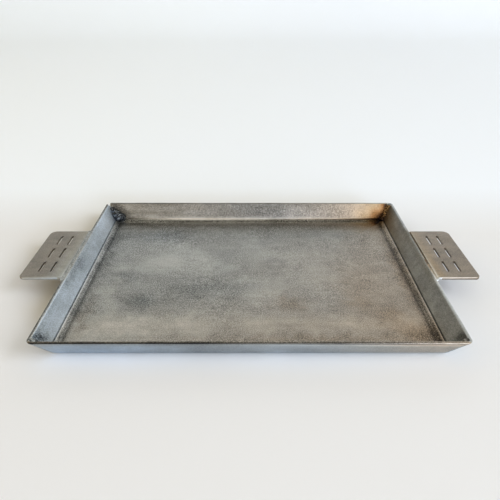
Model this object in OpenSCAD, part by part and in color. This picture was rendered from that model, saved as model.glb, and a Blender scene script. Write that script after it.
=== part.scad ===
// Camp griddle plate. A shallow tray is folded from one steel sheet: a flat floor and four
// walls that lean outwards. The walls meet in slit corners, each closed by a weld that is
// ground round outside and left as a rippled bead inside. A flat handle plate is welded
// flush with the rim on each short side.
// Sizes are in millimetres and angles in degrees. +Z is up, +X points to the right handle and
// +Y to the back wall. The origin lies on the ground under the middle of the tray.

/* [Tray] */
// Outside length of the rim, from left to right
rim_length = 400; // [300:5:520]
// Outside width of the rim, from front to back
rim_width = 300; // [220:5:400]
// Height of the rim above the ground
tray_height = 25; // [20:1:40]
// Thickness of the tray sheet
sheet_thickness = 3; // [2:0.5:4]
// Angle between a wall and the ground
wall_angle = 60; // [50:1:72]
// Inside radius of the bend between the floor and a wall
bend_radius = 6.5; // [3:0.5:8]

/* [Corner welds] */
// Width of the slit between the ends of two walls
seam_slit = 0.8; // [0.4:0.1:1.4]
// Diameter of the relief hole where two bends meet
relief_hole = 4; // [3:0.5:6]
// Radius that the outside of a corner is ground to
corner_round = 6; // [4.5:0.5:8]
// Radius of the bead inside the two front corners
front_bead = 4.5; // [3:0.5:6]
// Radius of the bead inside the back left corner
back_left_bead = 7; // [4:0.5:8]
// Radius of the bead inside the back right corner
back_right_bead = 5; // [3:0.5:7]
// Distance of a bead's axis behind the corner that it fills
bead_sink = 1; // [0.5:0.25:2]
// Length of one ripple along a bead
ripple_length = 2.4; // [1.6:0.2:4]
// Depth under the rim to which the back left corner stands open
open_notch = 4.5; // [2:0.5:8]
// Width of that open corner at the rim
notch_width = 6; // [3:0.5:9]

/* [Handle plates] */
// Reach of a plate beyond the rim
handle_reach = 47.5; // [36:0.5:70]
// Width of a plate, from front to back
handle_width = 106; // [80:1:140]
// Thickness of a plate
handle_thickness = 3; // [2:0.5:4]
// Distance of a plate's middle behind the middle of the tray
handle_shift = 10; // [0:1:20]
// Radius of a plate's outer corner at the front
front_corner = 5; // [2:0.5:14]
// Radius of a plate's outer corner at the back
back_corner = 8; // [2:0.5:14]

/* [Handle welds] */
// Gap between a plate's root and the rim
root_gap = 0.8; // [0.4:0.1:1.4]
// Radius of the weld bead under a plate's root
root_bead = 4; // [3.6:0.1:4.4]
// Length of the weld that turns round the front end of a root
front_return = 5; // [3:0.5:10]
// Length of the weld that turns round the back end of a root
back_return = 1.5; // [1:0.5:10]
// Thickness of those turns where they run out
return_toe = 0.4; // [0.2:0.1:0.8]
// Depth of the seam that the right weld leaves open on top
open_seam_depth = 1.5; // [0.5:0.25:2]
// Length of that open seam, from the back end of the root
open_seam_length = 68; // [20:1:76]

/* [Handle slots] */
// Width of a slot
slot_width = 2.6; // [1.6:0.2:3.6]
// Number of slots along a plate
slot_count = 3; // [2:1:5]
// Steel left between two slots of a row
slot_bridge = 8; // [5:0.5:14]
// Distance from a plate's front and back edges to the slots
slot_margin = 12; // [8:0.5:24]
// Distance from the rim to the middle of the inner row
slot_inset = 17; // [12:0.5:20]
// Distance between the middles of the two rows
slot_row_pitch = 13; // [8:0.5:16]

/* [Hidden] */

$fn = 96;

// Signs that name the sides of the tray
left = -1;
right = 1;
front = -1;
back = 1;

// Half sizes of the rim and of the flat floor between the bends
rim_half_x = rim_length / 2;
rim_half_y = rim_width / 2;
outer_radius = bend_radius + sheet_thickness;
wall_run = (tray_height - outer_radius * (1 - cos(wall_angle))) / tan(wall_angle);
bend_run = outer_radius * sin(wall_angle);
flat_half_x = rim_half_x - wall_run - bend_run;
flat_half_y = rim_half_y - wall_run - bend_run;

// The corner line is where the inner faces of two walls meet. It starts at the sharp
// foot that the two inner faces would have without a bend.
foot_run = bend_radius * tan(wall_angle / 2);
seam_angle = atan(tan(wall_angle) / sqrt(2));
seam_length = (tray_height - sheet_thickness) / sin(seam_angle);
groove_angle = acos(pow(cos(wall_angle), 2));

// Cutters reach past what they cut by this much
overshoot = 6;
cut_length = max(rim_length, rim_width) + 2 * overshoot;
groove_depth = 4 * sheet_thickness;

// A corner's round lies about an axis inside the tray. It meets each wall at a faint edge,
// because the axis is this much nearer to the wall's outer face than the radius.
edge_step = 0.1;
round_sink = (corner_round - edge_step - sheet_thickness) / cos(groove_angle / 2);

// Handle plates start at the root gap and lie flush with the rim. The bead under a root has
// round ends that reach the plate's front and back edges.
handle_root = rim_half_x + root_gap;
handle_tip = rim_half_x + handle_reach;
handle_length = handle_tip - handle_root;
handle_bottom = tray_height - handle_thickness;
bead_length = handle_width - 2 * root_bead;
slot_length = (handle_width - 2 * slot_margin - (slot_count - 1) * slot_bridge) / slot_count;
slot_pitch = slot_length + slot_bridge;

// Section of a tub whose bottom corners are rounded, open at the given top
module tub_section(flat_half, bottom, radius, top) {
    bend_x = flat_half + radius * sin(wall_angle);
    bend_z = bottom + radius * (1 - cos(wall_angle));
    top_x = bend_x + (top - bend_z) / tan(wall_angle);
    polygon([
        [-flat_half, bottom],
        [flat_half, bottom],
        [bend_x, bend_z],
        [top_x, top],
        [-top_x, top],
        [-bend_x, bend_z]
    ]);
    for (side = [left, right])
        translate([side * flat_half, bottom + radius])
            circle(radius);
}

// Tub with four leaning walls: one section along each axis, crossed
module tub(bottom, radius, top) {
    intersection() {
        rotate([90, 0, 0])
            linear_extrude(cut_length, center = true)
                tub_section(flat_half_x, bottom, radius, top);
        rotate([90, 0, 90])
            linear_extrude(cut_length, center = true)
                tub_section(flat_half_y, bottom, radius, top);
    }
}

// Room inside the tray, up to the given top
module tray_room(top) {
    tub(sheet_thickness, bend_radius, top);
}

// Folded sheet with closed corners, before the corners are slit
module closed_sheet() {
    difference() {
        tub(0, outer_radius, tray_height);
        tray_room(tray_height + overshoot);
    }
}

// Turns its children from the back right corner to the corner of the given sides
module at_corner(side, end) {
    mirror([side == left ? 1 : 0, 0, 0])
        mirror([0, end == front ? 1 : 0, 0])
            children();
}

// Stands its children on the corner line: z runs up the line and x points out of the tray
module on_seam() {
    translate([flat_half_x + foot_run, flat_half_y + foot_run, sheet_thickness])
        rotate([0, 90 - seam_angle, 45])
            children();
}

// Carries a section along the whole corner line, past both of its ends
module along_seam() {
    on_seam()
        translate([0, 0, -groove_depth])
            linear_extrude(seam_length + 2 * groove_depth)
                children();
}

// Section of the room between the two directions that are square to meeting walls
module seam_wedge(reach) {
    polygon([
        [0, 0],
        reach * [cos(groove_angle / 2), -sin(groove_angle / 2)],
        reach * [cos(groove_angle / 2), sin(groove_angle / 2)]
    ]);
}

// What the folded sheet lacks at its back right corner: a slit from the relief hole
// outwards, and a groove whose faces are square to the two walls
module corner_cut() {
    translate([flat_half_x, flat_half_y, -overshoot]) {
        cylinder(d = relief_hole, h = tray_height);
        rotate(45)
            translate([0, -seam_slit / 2])
                cube([rim_half_y, seam_slit, tray_height + 2 * overshoot]);
    }
    along_seam()
        seam_wedge(groove_depth);
}

// What grinding takes off the outside of the back right corner
module corner_grind() {
    along_seam()
        translate([-round_sink, 0])
            difference() {
                seam_wedge(groove_depth + corner_round);
                circle(corner_round);
            }
}

// V at the rim of the back right corner, as wide as the notch and as deep
module rim_gap() {
    translate([rim_half_x, rim_half_y, tray_height])
        rotate([90, 0, 135])
            linear_extrude(2 * groove_depth, center = true)
                polygon([
                    [0, -open_notch],
                    [notch_width / 2, 0],
                    [notch_width / 2, overshoot],
                    [-notch_width / 2, overshoot],
                    [-notch_width / 2, 0]
                ]);
}

// Folded sheet with its four corners slit and ground, and one of them open at the rim
module folded_sheet() {
    difference() {
        closed_sheet();
        for (side = [left, right], end = [front, back])
            at_corner(side, end) {
                corner_cut();
                corner_grind();
            }
        at_corner(left, back)
            rim_gap();
    }
}

// Weld that fills a slit corner, ground to a round. It stops short of the rim by the notch.
module outer_weld(side, end, notch) {
    at_corner(side, end)
        difference() {
            intersection() {
                closed_sheet();
                corner_cut();
                translate([0, 0, -overshoot])
                    cube([cut_length, cut_length, tray_height - notch + overshoot]);
            }
            corner_grind();
        }
}

// Rod with a row of ripples along z: circles in a row, turned about the axis
module rippled_rod(radius, length) {
    ripples = ceil(length / ripple_length);
    rotate_extrude()
        intersection() {
            translate([0, -radius])
                square([radius, length + 2 * radius]);
            for (step = [0 : ripples])
                translate([0, step * length / ripples])
                    circle(radius);
        }
}

// Bead in an inside corner, laid along the corner line up to the rim. Where a notch is left
// under the rim, the bead's round end stops at its bottom.
module inner_weld(side, end, radius, notch) {
    stop = notch > 0 ? notch / sin(seam_angle) + radius : 0;
    at_corner(side, end)
        intersection() {
            tray_room(tray_height);
            on_seam()
                translate([bead_sink, 0, 0])
                    rippled_rod(radius, seam_length - stop);
        }
}

// What rounds the outer corner of the right handle plate at the given end
module plate_corner(end, radius) {
    translate([handle_tip, end * handle_width / 2])
        mirror([0, end == back ? 1 : 0, 0])
            difference() {
                translate([-radius, -overshoot])
                    square([radius + overshoot, radius + overshoot]);
                translate([-radius, radius])
                    circle(radius);
            }
}

// Outline of the right handle plate with its two outer corners rounded
module handle_outline() {
    difference() {
        translate([handle_root, -handle_width / 2])
            square([handle_length, handle_width]);
        plate_corner(front, front_corner);
        plate_corner(back, back_corner);
    }
}

// Slot with round ends, lying along y
module slot() {
    straight = slot_length - slot_width;
    square([slot_width, straight], center = true);
    for (end = [front, back])
        translate([0, end * straight / 2])
            circle(d = slot_width);
}

// Two rows of slots along the right handle plate
module handle_slots() {
    for (row = [0, 1], place = [0 : slot_count - 1])
        translate([
            rim_half_x + slot_inset + row * slot_row_pitch,
            (place - (slot_count - 1) / 2) * slot_pitch
        ])
            slot();
}

// Handle plate on the given side
module handle_plate(side) {
    mirror([side == left ? 1 : 0, 0, 0])
        translate([0, handle_shift, handle_bottom])
            linear_extrude(handle_thickness)
                difference() {
                    handle_outline();
                    handle_slots();
                }
}

// Rod along z with round ends, turned from its own outline
module round_rod(radius, length) {
    rotate_extrude()
        intersection() {
            translate([0, -radius])
                square([radius, length + 2 * radius]);
            union() {
                square([radius, length]);
                for (end = [0, length])
                    translate([0, end])
                        circle(radius);
            }
        }
}

// Plan of the hollow turn of weld metal from the right plate's edge to the rim at one end
module root_turn(end, length) {
    inner_x = rim_half_x - overshoot;
    turn_x = handle_root + length;
    mirror([0, end == front ? 1 : 0, 0])
        translate([0, handle_width / 2])
            difference() {
                translate([inner_x, 0])
                    square([turn_x - inner_x, length]);
                translate([turn_x, length])
                    circle(length - return_toe);
            }
}

// Plan of the weld metal between the right plate and the rim: the gap along the root and a
// turn at each end
module root_fill() {
    translate([rim_half_x - overshoot, -handle_width / 2])
        square([root_gap + overshoot, handle_width]);
    root_turn(front, front_return);
    root_turn(back, back_return);
}

// Weld along the root of a handle plate: metal in the gap up to the rim's height, and a bead
// with round ends below the plate
module root_weld(side) {
    mirror([side == left ? 1 : 0, 0, 0]) {
        difference() {
            translate([0, handle_shift, handle_bottom])
                linear_extrude(handle_thickness)
                    root_fill();
            tub(0, outer_radius, tray_height + overshoot);
        }
        difference() {
            translate([rim_half_x, handle_shift + bead_length / 2, handle_bottom])
                rotate([90, 45, 0])
                    round_rod(root_bead, bead_length);
            tub(0, outer_radius, tray_height + overshoot);
            translate([0, -cut_length / 2, handle_bottom])
                cube(cut_length);
        }
    }
}

// Seam along the back of the right root that the weld leaves open on top, past its end
module open_seam() {
    translate([
        rim_half_x - overshoot,
        handle_shift + handle_width / 2 - open_seam_length,
        tray_height - open_seam_depth
    ])
        cube([2 * overshoot, open_seam_length + overshoot, overshoot]);
}

module tray() {
    color("#8f8d86")
        folded_sheet();
}

module left_handle() {
    color("#a39b8c")
        handle_plate(left);
}

module right_handle() {
    color("#9a8f80")
        handle_plate(right);
}

module outer_weld_front_left() {
    color("#8b8f96")
        outer_weld(left, front, 0);
}

module outer_weld_front_right() {
    color("#9c968c")
        outer_weld(right, front, 0);
}

module outer_weld_back_left() {
    color("#6f7378")
        outer_weld(left, back, open_notch);
}

module outer_weld_back_right() {
    color("#8a7a63")
        outer_weld(right, back, 0);
}

module inner_weld_front_left() {
    color("#4a4d55")
        inner_weld(left, front, front_bead, 0);
}

module inner_weld_front_right() {
    color("#5d5a54")
        inner_weld(right, front, front_bead, 0);
}

module inner_weld_back_left() {
    color("#34373f")
        inner_weld(left, back, back_left_bead, open_notch);
}

module inner_weld_back_right() {
    color("#5a4a36")
        inner_weld(right, back, back_right_bead, 0);
}

module left_root_weld() {
    color("#b4aea3")
        root_weld(left);
}

module right_root_weld() {
    color("#8c7558")
        difference() {
            root_weld(right);
            open_seam();
        }
}

tray();
left_handle();
right_handle();
outer_weld_front_left();
outer_weld_front_right();
outer_weld_back_left();
outer_weld_back_right();
inner_weld_front_left();
inner_weld_front_right();
inner_weld_back_left();
inner_weld_back_right();
left_root_weld();
right_root_weld();
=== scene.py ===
import math

import bpy
import numpy as np
from numpy.linalg import norm
from mathutils.geometry import delaunay_2d_cdt
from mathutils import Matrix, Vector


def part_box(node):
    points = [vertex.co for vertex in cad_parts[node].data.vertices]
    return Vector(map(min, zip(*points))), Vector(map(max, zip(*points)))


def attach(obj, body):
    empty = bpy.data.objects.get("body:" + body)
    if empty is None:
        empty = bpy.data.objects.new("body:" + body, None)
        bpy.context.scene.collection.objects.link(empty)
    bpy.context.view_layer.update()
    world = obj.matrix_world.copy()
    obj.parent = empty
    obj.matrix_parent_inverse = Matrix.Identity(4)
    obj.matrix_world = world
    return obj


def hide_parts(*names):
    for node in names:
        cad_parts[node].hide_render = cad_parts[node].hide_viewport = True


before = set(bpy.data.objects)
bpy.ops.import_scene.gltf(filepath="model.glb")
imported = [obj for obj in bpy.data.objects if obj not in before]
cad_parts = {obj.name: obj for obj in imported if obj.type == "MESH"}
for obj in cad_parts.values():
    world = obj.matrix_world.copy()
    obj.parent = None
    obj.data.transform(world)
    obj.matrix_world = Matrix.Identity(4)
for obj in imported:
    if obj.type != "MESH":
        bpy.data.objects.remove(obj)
scene = bpy.context.scene
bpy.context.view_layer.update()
print("frame loaded:", len(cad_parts), "nodes")

mm = 0.001


# Small helpers for surfaces. All of them work in millimetres.

def smooth(value, low, high):
    # 0 below low, 1 above high and an S curve between them
    t = np.clip((value - low) / (high - low), 0, 1)
    return t * t * (3 - 2 * t)


def ripples(place, lengths, seed):
    # sum of sines of the given wave lengths with fixed random phases, from about -1 to 1
    phases = np.random.default_rng(seed).uniform(0, 2 * np.pi, len(lengths))
    waves = [np.sin(2 * np.pi * place / length + phase) for length, phase in zip(lengths, phases)]
    return sum(waves) / len(waves)


def bell(distance, reach):
    # bell curve: 1 in the middle and about a third at the reach
    return np.exp(-(distance / reach) ** 2)


def crests(phase):
    # frozen ripples of a weld: round crests and sharp valleys about a mean near zero
    return np.abs(np.sin(np.pi * phase)) - 0.6


def roundEnd(gap):
    # quarter circle that rises from 0 at an end to 1 at a gap of 1
    return np.sqrt(np.clip(1 - (1 - np.clip(gap, 0, 1)) ** 2, 0, 1))


def unit(angle):
    # points of the unit circle
    return np.stack([np.cos(angle), np.sin(angle)], axis=-1)


def raised(plan, level):
    # plan loops lifted to their levels
    return np.concatenate([plan, np.broadcast_to(level[:, None, None], (*plan.shape[:2], 1))], axis=2)


def segmentDistance(points, start, end):
    # distance of each point from the straight line between start and end
    start, end = np.asarray(start, float), np.asarray(end, float)
    along = np.clip((points - start) @ (end - start) / np.sum((end - start) ** 2), 0, 1)
    return norm(points - start - along[..., None] * (end - start), axis=-1)


def filletPath(corners, radii, steps):
    # a path of straight lines with an arc of the given radius in each inner corner
    corners = np.asarray(corners, float)
    path = [corners[:1]]
    for before, corner, after, radius in zip(corners, corners[1:], corners[2:], radii):
        u = (before - corner) / norm(before - corner)
        w = (after - corner) / norm(after - corner)
        half = math.acos(np.dot(u, w)) / 2
        centre = corner + (u + w) / norm(u + w) * radius / math.sin(half)
        first = corner + u * radius / math.tan(half) - centre
        last = corner + w * radius / math.tan(half) - centre
        turn = math.pi - 2 * half
        t = np.linspace(0, turn, steps)[:, None]
        path.append(centre + (np.sin(turn - t) * first + np.sin(t) * last) / math.sin(turn))
    path.append(corners[-1:])
    return np.concatenate(path)


def denser(path, spacing, beside, least):
    # the same path with points added at a regular spacing and close beside its own points, except
    # where an own point is nearer than the least distance
    length = np.concatenate([[0], np.cumsum(norm(np.diff(path, axis=0), axis=1))])
    added = np.concatenate([np.arange(0, length[-1], spacing)] + [length + step for step in beside])
    added = added[(np.abs(added[:, None] - length).min(axis=1) > least) & (added > 0) & (added < length[-1])]
    places = np.unique(np.round(np.concatenate([length, added]), 6))
    return np.stack([np.interp(places, length, column) for column in path.T], axis=1)


def stackFaces(rowCount, loopCount, start=0):
    # quads between neighbouring closed loops of a stack
    row, place = np.meshgrid(np.arange(rowCount - 1), np.arange(loopCount), indexing="ij")
    following = (place + 1) % loopCount
    quads = [row * loopCount + place, row * loopCount + following,
             (row + 1) * loopCount + following, (row + 1) * loopCount + place]
    return (np.stack(quads, axis=-1).reshape(-1, 4) + start).tolist()


def poleFaces(rowCount, loopCount):
    # triangles that close a stack of loops on the two poles that follow its points
    place = np.arange(loopCount)
    following = (place + 1) % loopCount
    pole, last = 0 * place + rowCount * loopCount, (rowCount - 1) * loopCount
    start = np.stack([pole, following, place], axis=1)
    end = np.stack([pole + 1, last + place, last + following], axis=1)
    return np.concatenate([start, end]).tolist()


def closedStack(rows):
    # closed surface: loops joined by quads, with a pole in the middle of the first and last loop
    poles = np.stack([rows[0].mean(axis=0), rows[-1].mean(axis=0)])
    points = np.concatenate([rows.reshape(-1, 3), poles])
    return points, stackFaces(*rows.shape[:2]) + poleFaces(*rows.shape[:2])


def outward(points, faces):
    # turns all faces round where the volume they enclose comes out negative
    fans = [(f[0], f[i], f[i + 1]) for f in faces for i in range(1, len(f) - 1)]
    a, b, c = points[np.array(fans)].transpose(1, 0, 2)
    return faces if np.sum(a * np.cross(b, c)) > 0 else [f[::-1] for f in faces]


def newMesh(name, points, faces, soft):
    # mesh whose soft faces are shaded smooth
    mesh = bpy.data.meshes.new(name)
    mesh.from_pydata(points.tolist(), [], faces)
    mesh.polygons.foreach_set("use_smooth", np.array(soft))
    return mesh


def addObject(name, data):
    # object of the scene that shows a mesh, lamp or camera
    thing = bpy.data.objects.new(name, data)
    scene.collection.objects.link(thing)
    return thing


def makePiece(name, shells, node, slot, material, marks, *look):
    # one mesh object from closed shells (points, faces), in the place of a CAD node; the marks of a
    # look are numbers at each point that the material reads
    points = np.concatenate([shell[0] for shell in shells])
    faces, first = [], 0
    for shellPoints, shellFaces in shells:
        faces += [[first + i for i in face] for face in outward(shellPoints, shellFaces)]
        first += len(shellPoints)
    mesh = newMesh(name, points * mm, faces, [len(face) == 4 for face in faces])
    for mark, values in {"grit": np.ones(len(points)), **marks(points, *look)}.items():
        mesh.attributes.new(mark, "FLOAT", "POINT").data.foreach_set("value", values)
    mesh.validate()
    mesh.update()
    mesh.materials.append(material)
    piece = addObject(name, mesh)
    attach(piece, "root")
    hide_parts(node)
    print("piece", name, len(points), "points", len(faces), "faces")


# Small helpers for materials

def linearColour(hexText):
    # sRGB hex to linear light by the standard curve
    srgb = np.array([int(hexText[i:i + 2], 16) for i in (1, 3, 5)]) / 255
    linear = np.where(srgb <= 0.04045, srgb / 12.92, ((srgb + 0.055) / 1.055) ** 2.4)
    return (*linear.tolist(), 1.0)


def addNode(tree, kind, inputs, stops=(), **properties):
    # one node: its properties, its input values or links, and the stops of a colour ramp; returns
    # its outputs
    node = tree.nodes.new("ShaderNode" + kind)
    for key, value in properties.items():
        setattr(node, key, value)
    for key, value in inputs.items():
        if isinstance(value, bpy.types.NodeSocket):
            tree.links.new(value, node.inputs[key])
        else:
            node.inputs[key].default_value = value
    for index, (place, colour) in enumerate(stops):
        ramp = node.color_ramp.elements
        stop = ramp[index] if index < 2 else ramp.new(place)
        stop.position, stop.color = place, linearColour(colour)
    return node.outputs


def emptyTree(owner):
    owner.use_nodes = True
    owner.node_tree.nodes.clear()
    return owner.node_tree


def perMetre(sizeMm):
    # pattern scale that gives features of this size in millimetres
    return 1 / (sizeMm * mm)


def fromTo(value, source, target=(0, 1)):
    # inputs of a node that maps one span of numbers to another
    return dict(zip(("Value", "From Min", "From Max", "To Min", "To Max"), (value, *source, *target)))


# greys of mild steel, from scale and smoke over the ground face to a rubbed edge and the painted highlights
steelTones = [(0.0, "#232326"), (0.3, "#65645f"), (0.5, "#918f89"), (0.7, "#b9b7b0"), (1.0, "#efede8")]
# a cold or a warm cast over the grey: cold where it paints the reflection of cool light and in random
# clouds, warm for thin brown oxide
castTones = [(0.0, "#c2dbf8"), (0.5, "#ffffff"), (1.0, "#ffcf96")]
# temper colours over the grey: straw, brown, purple, blue and then scale
temperTones = [(0.0, "#ffffff"), (0.25, "#fff1d8"), (0.45, "#efc596"), (0.62, "#a98463"),
               (0.76, "#6e6572"), (0.88, "#48505f"), (1.0, "#2a2e36")]
# noise behind each pattern of the steel: detail, roughness and distortion
steelNoise = {"cloud": (6.0, 0.62, 0.5), "wiped": (4.0, 0.55, 0.3), "mottle": (3.0, 0.6, 0.6),
              "grit": (2.0, 0.6, 0.0), "stroke": (4.0, 0.6, 0.0)}
# ranges: nearly all of a noise, its middle, a wiped patch's edge, the tones between which grit is
# rubbed away and its share there, and how unevenly the heat colours take
ranges = {"noise": (0.25, 0.75), "middle": (0.3, 0.7), "patchEdge": (0.42, 0.58),
          "gritTones": (0.45, 0.68), "gritShare": (1.2, 0.5), "uneven": (0.8, 1.15)}


def steelMaterial(name, look):
    # Bare mild steel, ground by hand: its grey drifts in clouds where the disc dwelt longer, fine
    # grit breaks it up, and faint strokes cross it. The marks of a piece shift the grey (tone),
    # its cast from cold to warm (cast), the temper colour that a weld's heat left (temper) and the
    # grit, which is drawn coarser than its real tenths of a millimetre so that the camera sees it.
    # tone and cast also carry painted light, shade and reflection, set per face and edge
    material = bpy.data.materials.new(name)
    tree = emptyTree(material)
    place = addNode(tree, "TexCoord", {})["Object"]
    turned = addNode(tree, "Mapping", {
        "Vector": place, "Rotation": (0, 0, math.radians(look["strokeTurn"])),
        "Scale": (1, look["strokeStretch"], look["strokeStretch"])})["Vector"]
    noise = {}
    for pattern, (detail, roughness, distortion) in steelNoise.items():
        noise[pattern] = addNode(tree, "TexNoise", {
            "Vector": turned if pattern == "stroke" else place,
            "Scale": perMetre(look[pattern + "Size"]), "Detail": detail, "Roughness": roughness,
            "Distortion": distortion})["Fac"]
    marks = {mark: addNode(tree, "Attribute", {}, attribute_name=mark)["Fac"]
             for mark in ("tone", "cast", "temper", "grit")}
    tone, cast = marks["tone"], marks["cast"]
    for pattern, value in noise.items():
        if pattern == "wiped":
            # a wiped patch has a clearer edge than a cloud
            value = addNode(tree, "MapRange", fromTo(value, ranges["patchEdge"], ranges["noise"]),
                            interpolation_type="SMOOTHSTEP")[0]
        depth = look[pattern + "Depth"]
        shift = addNode(tree, "MapRange", fromTo(value, ranges["noise"], (-depth, depth)), clamp=False)[0]
        if pattern == "grit":
            # the grit shows where the steel is dark and is rubbed away where it is pale
            showing = addNode(tree, "MapRange", fromTo(tone, ranges["gritTones"], ranges["gritShare"]))[0]
            for factor in (showing, marks["grit"]):
                shift = addNode(tree, "Math", {0: shift, 1: factor}, operation="MULTIPLY")[0]
        tone = addNode(tree, "Math", {0: tone, 1: shift}, operation="ADD")[0]
        if pattern == "cloud":
            cast = addNode(tree, "Math", {0: shift, 1: look["castDrift"], 2: cast},
                           operation="MULTIPLY_ADD")[0]
    uneven = addNode(tree, "MapRange", fromTo(noise["cloud"], ranges["middle"], ranges["uneven"]))[0]
    temper = addNode(tree, "Math", {0: marks["temper"], 1: uneven}, operation="MULTIPLY")[0]
    colour = addNode(tree, "ValToRGB", {"Fac": tone}, stops=steelTones)["Color"]
    for amount, stops in ((cast, castTones), (temper, temperTones)):
        film = addNode(tree, "ValToRGB", {"Fac": amount}, stops=stops)["Color"]
        colour = addNode(tree, "Mix", {0: 1.0, 6: colour, 7: film}, data_type="RGBA",
                         blend_type="MULTIPLY")[2]
    rough = addNode(tree, "MapRange", fromTo(noise["stroke"], ranges["middle"], look["rough"]))[0]
    height = addNode(tree, "Math", {0: noise["grit"], 1: noise["stroke"]}, operation="ADD")[0]
    bump = addNode(tree, "Bump", {
        "Height": height, "Strength": look["bump"], "Distance": look["bumpDepth"] * mm})[0]
    shader = addNode(tree, "BsdfPrincipled", {
        "Base Color": colour, "Roughness": rough, "Normal": bump, "Metallic": 1.0})
    addNode(tree, "OutputMaterial", {"Surface": shader[0]})
    return material


# sizes in millimetres and depths as shifts of tone; the strokes run along x, and their turn in
# degrees only picks other strokes
trayLook = {
    "cloudSize": 70, "cloudDepth": 0.08, "castDrift": 0.1,
    "wipedSize": 48, "wipedDepth": 0.025, "mottleSize": 14, "mottleDepth": 0.04,
    "gritSize": 1.05, "gritDepth": 0.34,
    "strokeSize": 45, "strokeStretch": 7, "strokeTurn": 25, "strokeDepth": 0.06,
    "rough": (0.36, 0.48), "bump": 0.3, "bumpDepth": 0.08,
}
# cut plate keeps its rolled face, with smaller clouds and little grit
plateLook = dict(trayLook, cloudSize=30, cloudDepth=0.06, wipedDepth=0.015, mottleDepth=0.03,
                 gritDepth=0.1, strokeTurn=80)
# a dressed weld is brighter, and its patterns are as small as the weld
weldLook = dict(trayLook, cloudSize=9, wipedSize=6, mottleSize=5, gritSize=1.1, strokeSize=12,
                rough=(0.3, 0.45))
# a bead left as it froze is duller, with coarse specks of scale
beadLook = dict(weldLook, gritSize=1.7, gritDepth=0.4, rough=(0.36, 0.54), bump=0.45)

traySteel = steelMaterial("hand_ground_mild_steel", trayLook)
plateSteel = steelMaterial("cut_steel_plate", plateLook)
groundWeld = steelMaterial("ground_weld_steel", weldLook)
beadWeld = steelMaterial("smoked_weld_bead", beadLook)
rootWeldSteel = steelMaterial("handle_weld_steel", weldLook)
print("materials made for the tray, plates and welds")


# The tray: one folded sheet, and the sizes that the welds share with it

trayTop = np.array(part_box("tray")[1]) / mm
tray = {
    "rimHalf": trayTop[:2], "height": trayTop[2], "sheet": 3.0, "wallAngle": math.radians(60), "bend": 6.5,
    "crease": 1.2, "scoreHalf": 0.8, "scoreDepth": 0.8,  # line pressed in along the upper crease
    "scoreRadii": (0.25, 0.2, 0.25),
    "rimInside": 1.4, "rimOutside": 0.8,  # radii of the rim's two dulled edges
    "cornerInside": 1.0, "cornerOutside": 6.0,  # plan radii of the corners
    "wallBow": 0.4, "bowPower": 8,
    "floorWave": 0.14, "floorLengths": (190, 113, 61), "crossLengths": (150, 87, 53), "floorStill": 25.0,
    "rimWave": 0.12, "rimLengths": (140, 57, 31), "rimLow": 0.03,
    "handleInside": (15.0, 10.0), "handleBeside": (15.0, 5.0),  # where the even rim at a handle starts
    "floorMargin": 30.0, "spacing": 3.0, "beside": (-1.0, -0.4, 0.4, 1.0), "least": 0.25, "arcSteps": 6,
    "longCount": 110, "shortCount": 82, "cornerCount": 11, "floorLoops": 34, "underLoops": 9,
    "notchDepth": 4.5, "notchHalf": 3.0,
}
rimHalf, rimHeight, sheet = (tray[key] for key in ("rimHalf", "height", "sheet"))
sine, cosine, lean = (f(tray["wallAngle"]) for f in (math.sin, math.cos, math.tan))
outerBend = tray["bend"] + sheet
footIn = np.array([tray["bend"] * math.tan(tray["wallAngle"] / 2), sheet])
footOut = np.array([outerBend * math.tan(tray["wallAngle"] / 2), 0])
rimIn = np.array([footIn[0] + (rimHeight - sheet) / lean, rimHeight])
rimOut = np.array([footOut[0] + rimHeight / lean, rimHeight])
creaseLow = np.array([0, sheet])
creaseHigh = creaseLow + tray["bend"] * np.array([sine, 1 - cosine])
wallWay = np.array([cosine, sine])
bendWay = (creaseHigh - creaseLow) / norm(creaseHigh - creaseLow)
flatHalf = rimHalf - rimOut[0]
corners = {"front_left": (-1, -1), "front_right": (1, -1), "back_left": (-1, 1), "back_right": (1, 1)}
notchedCorner = "back_left"
lowPlate, highPlate = (np.array(corner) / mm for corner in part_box("right_handle"))


def alongHandle(y, far, close):
    # 1 along a handle and 0 beyond it, with a soft edge between two distances from its ends
    low, high = lowPlate[1], highPlate[1]
    return smooth(y, low - far, low - close) * smooth(y, high + far, high + close)


def roundedLoops(halves, radii, counts):
    # plan loops: four straight sides between four quarter circles, one loop for each half size
    ends = [(1, 1), (-1, 1), (-1, -1), (1, -1)]
    arcs = []
    for quarter, signs in enumerate(ends):
        angle = np.linspace(quarter, quarter + 1, tray["cornerCount"]) * np.pi / 2
        centre = ((halves - radii[:, None]) * signs)[:, None]
        arcs.append(centre + radii[:, None, None] * unit(angle))
    loop = []
    for quarter, arc in enumerate(arcs):
        u = np.linspace(-1, 1, counts[quarter % 2] + 2)[1:-1]
        t = (0.5 + 0.7 * u - 0.2 * u ** 3)[:, None]  # closer together towards the corners
        start, end = arc[:, -1:], arcs[(quarter + 1) % 4][:, :1]
        loop += [arc, start + (end - start) * t]
    return np.concatenate(loop, axis=1)


def cornerLine(corner):
    # foot and rim end of the line where two walls meet inside
    signs = np.array(corners[corner])
    foot = np.append((flatHalf + footIn[0]) * signs, sheet)
    top = np.append((flatHalf + rimIn[0]) * signs, rimHeight)
    return foot, top


def traySection():
    # offset and height along the sheet: floor, flat face of the bend between its two creases,
    # the line pressed in at the upper one, wall, rim, outer face and underside
    start = -tray["floorMargin"]
    along = bendWay + wallWay
    into = np.array([along[1], -along[0]]) / norm(along)
    score = [creaseHigh - tray["scoreHalf"] * bendWay, creaseHigh + tray["scoreDepth"] * into,
             creaseHigh + tray["scoreHalf"] * wallWay]
    path = filletPath(
        [(start, sheet), creaseLow, *score, rimIn, rimOut, footOut, (start, 0)],
        [tray["crease"], *tray["scoreRadii"], tray["rimInside"], tray["rimOutside"], outerBend],
        tray["arcSteps"])
    return denser(path, tray["spacing"], tray["beside"], tray["least"])


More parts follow.
